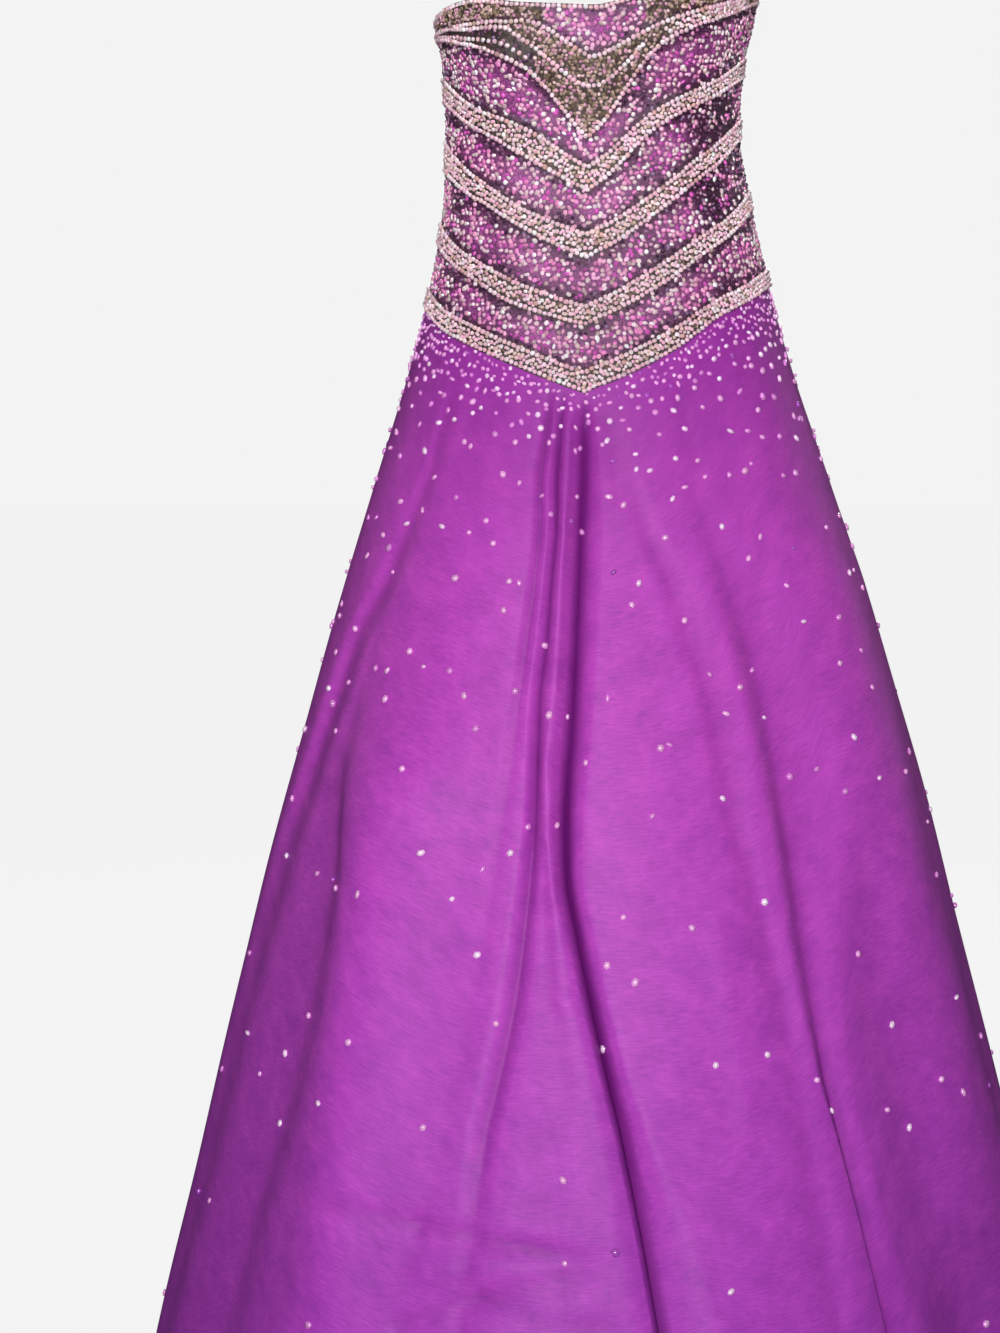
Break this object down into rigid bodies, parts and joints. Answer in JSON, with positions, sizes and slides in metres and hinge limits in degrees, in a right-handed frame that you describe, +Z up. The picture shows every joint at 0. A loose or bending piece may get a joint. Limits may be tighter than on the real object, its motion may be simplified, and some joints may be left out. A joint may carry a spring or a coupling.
{
  "type": "prom gown",
  "caption": "Strapless floor-length prom gown, held in its worn form: a beaded bodice with chevron bands and a dropped V waist over a flared satin skirt with soft folds, and a zip at the back.",
  "frame": {"origin": "centre of the gown's narrowest ring, at the waist, where the wearer holds it", "axes": "+Z up along the gown, -Y the front, +X to the right when it is seen from the front"},
  "size_m": [0.9308, 0.8315, 1.3894],
  "materials": {
    "beaded_mesh": "close beadwork, glossy",
    "satin": "soft satin sheen",
    "zip_tape": "matt woven tape",
    "zip_metal": "polished nickel"
  },
  "bodies": {
    "gown": {"bodice_front": "beaded_mesh", "bodice_back_left": "beaded_mesh", "bodice_back_right": "beaded_mesh", "skirt_front": "satin", "skirt_back_left": "satin", "skirt_back_right": "satin", "zip_tape": "zip_tape", "zip_slider": "zip_metal"},
    "pull_tab": {"zip_pull": "zip_metal"}
  },
  "joints": [
    {"name": "pull_tab_hinge", "type": "hinge", "parent": "gown", "child": "pull_tab", "pos_m": [0.00354, 0.08961, 0.069], "axis": [1, 0, 0], "range_deg": [0, 150]}
  ]
}
